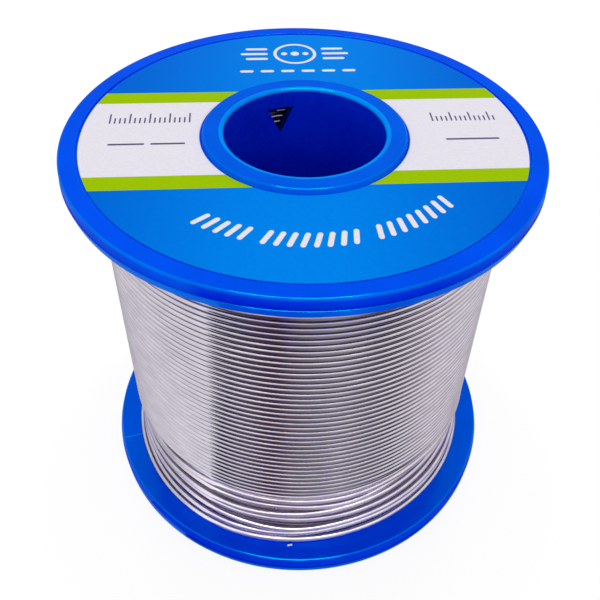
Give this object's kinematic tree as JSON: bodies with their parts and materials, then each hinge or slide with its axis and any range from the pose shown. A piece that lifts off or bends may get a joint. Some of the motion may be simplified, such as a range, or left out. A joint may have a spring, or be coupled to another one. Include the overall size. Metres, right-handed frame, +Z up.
{
  "type": "solder wire spool",
  "caption": "Moulded plastic spool with two round flanges and a hollow hub, a ring label, and a winding of flux-cored solder wire.",
  "frame": {"origin": "centre of the bore at the lower collar's face, which the spool stands on", "axes": "+Z up along the bore; -Y is the front, where the wire's cut end points"},
  "size_m": [0.06, 0.06, 0.0558],
  "materials": {
    "spool_plastic": "smooth glossy moulding",
    "label_film": "printed, satin",
    "solder": "bright drawn tin-lead wire",
    "rosin": "clear amber resin"
  },
  "bodies": {
    "root": {"top_flange": "spool_plastic", "hub": "spool_plastic", "bottom_flange": "spool_plastic", "top_label": "label_film", "inner_winding": "solder", "outer_turns": "solder", "wire_tail": "solder", "flux_core": "rosin"}
  },
  "joints": []
}
